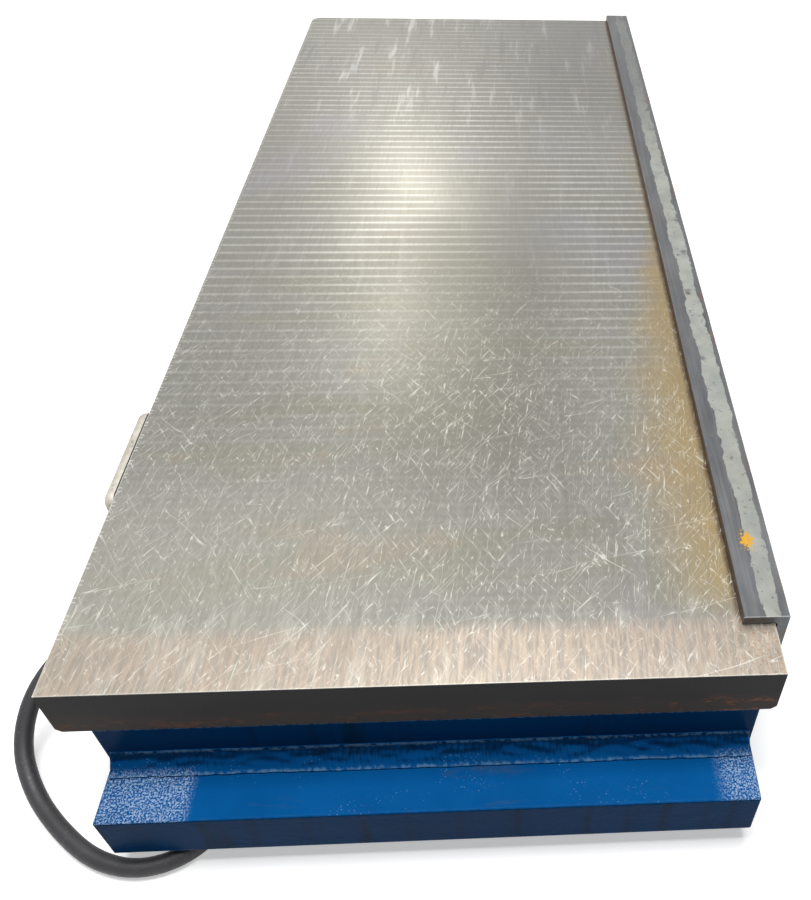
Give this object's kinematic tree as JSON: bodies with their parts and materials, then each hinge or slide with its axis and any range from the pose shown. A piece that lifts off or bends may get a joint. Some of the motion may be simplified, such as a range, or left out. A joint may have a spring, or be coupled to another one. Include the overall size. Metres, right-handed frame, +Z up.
{
  "type": "magnetic chuck",
  "caption": "Rectangular electromagnetic chuck: laminated steel pole plate on a blue welded base with clamping ledges, side stop angle, terminal box and supply cable.",
  "frame": {"origin": "middle of the footprint, on the surface that the seating strips stand on", "axes": "+Y along the chuck, away from the end that the cable comes round; +X across it towards the stop rail; +Z up out of the work face"},
  "size_m": [0.476, 1.2701, 0.1317],
  "materials": {
    "ground_steel": "surface-ground steel, stained and scratched",
    "separator_metal": "non-magnetic inlay, ground flush",
    "blue_paint": "gloss enamel over welded steel",
    "bare_steel": "ground",
    "rail_steel": "mill scale with worn paint",
    "core_iron": "machined",
    "copper_winding": "enamelled copper wire",
    "insulation": "varnished sheet",
    "resin": "cast resin",
    "cast_alloy": "sand-cast alloy, as cast",
    "black_oxide": "black oxide screws",
    "zinc_steel": "zinc plated",
    "gasket_rubber": "sheet rubber",
    "cable_rubber": "matt rubber jacket",
    "plug_rubber": "moulded rubber",
    "black_plastic": "moulded",
    "strap": "woven strap",
    "brass": "turned",
    "lead_wire": "insulated wire"
  },
  "bodies": {
    "root": {"base_plate": "blue_paint", "end_wall_front": "blue_paint", "end_wall_rear": "blue_paint", "side_wall_left": "blue_paint", "side_wall_right": "blue_paint", "weld_front": "blue_paint", "weld_rear": "blue_paint", "seating_strip_left": "bare_steel", "seating_strip_right": "bare_steel", "strip_screws_left": "black_oxide", "strip_screws_right": "black_oxide", "plate_bolts_front": "black_oxide", "plate_bolts_rear": "black_oxide", "core_bolts": "black_oxide", "separators": "separator_metal", "pole_bars_north": "ground_steel", "pole_bars_south": "ground_steel", "end_block_front": "ground_steel", "end_block_rear": "ground_steel", "core_north": "core_iron", "core_south": "core_iron", "core_collar_north": "insulation", "core_collar_south": "insulation", "coil_north": "copper_winding", "coil_south": "copper_winding", "coil_liners_north": "insulation", "coil_liners_south": "insulation", "potting": "resin", "stop_rail": "rail_steel", "rail_screws": "black_oxide", "rail_spacers": "zinc_steel", "terminal_box": "cast_alloy", "box_gasket": "gasket_rubber", "box_cover": "cast_alloy", "cover_screws": "zinc_steel", "box_screws": "black_oxide", "terminal_block": "black_plastic", "terminal_screws": "brass", "lead_bushing": "gasket_rubber", "coil_leads": "lead_wire", "cable_leads": "lead_wire", "gland_body": "black_plastic", "gland_nut": "black_plastic", "gland_seal": "gasket_rubber", "gland_locknut": "black_plastic", "strain_relief": "cable_rubber", "cable_tail": "cable_rubber", "cable_run": "cable_rubber", "cable_end": "cable_rubber", "cable_coil": "cable_rubber", "coil_tie": "strap", "plug_body": "plug_rubber", "plug_blades": "brass"}
  },
  "joints": []
}
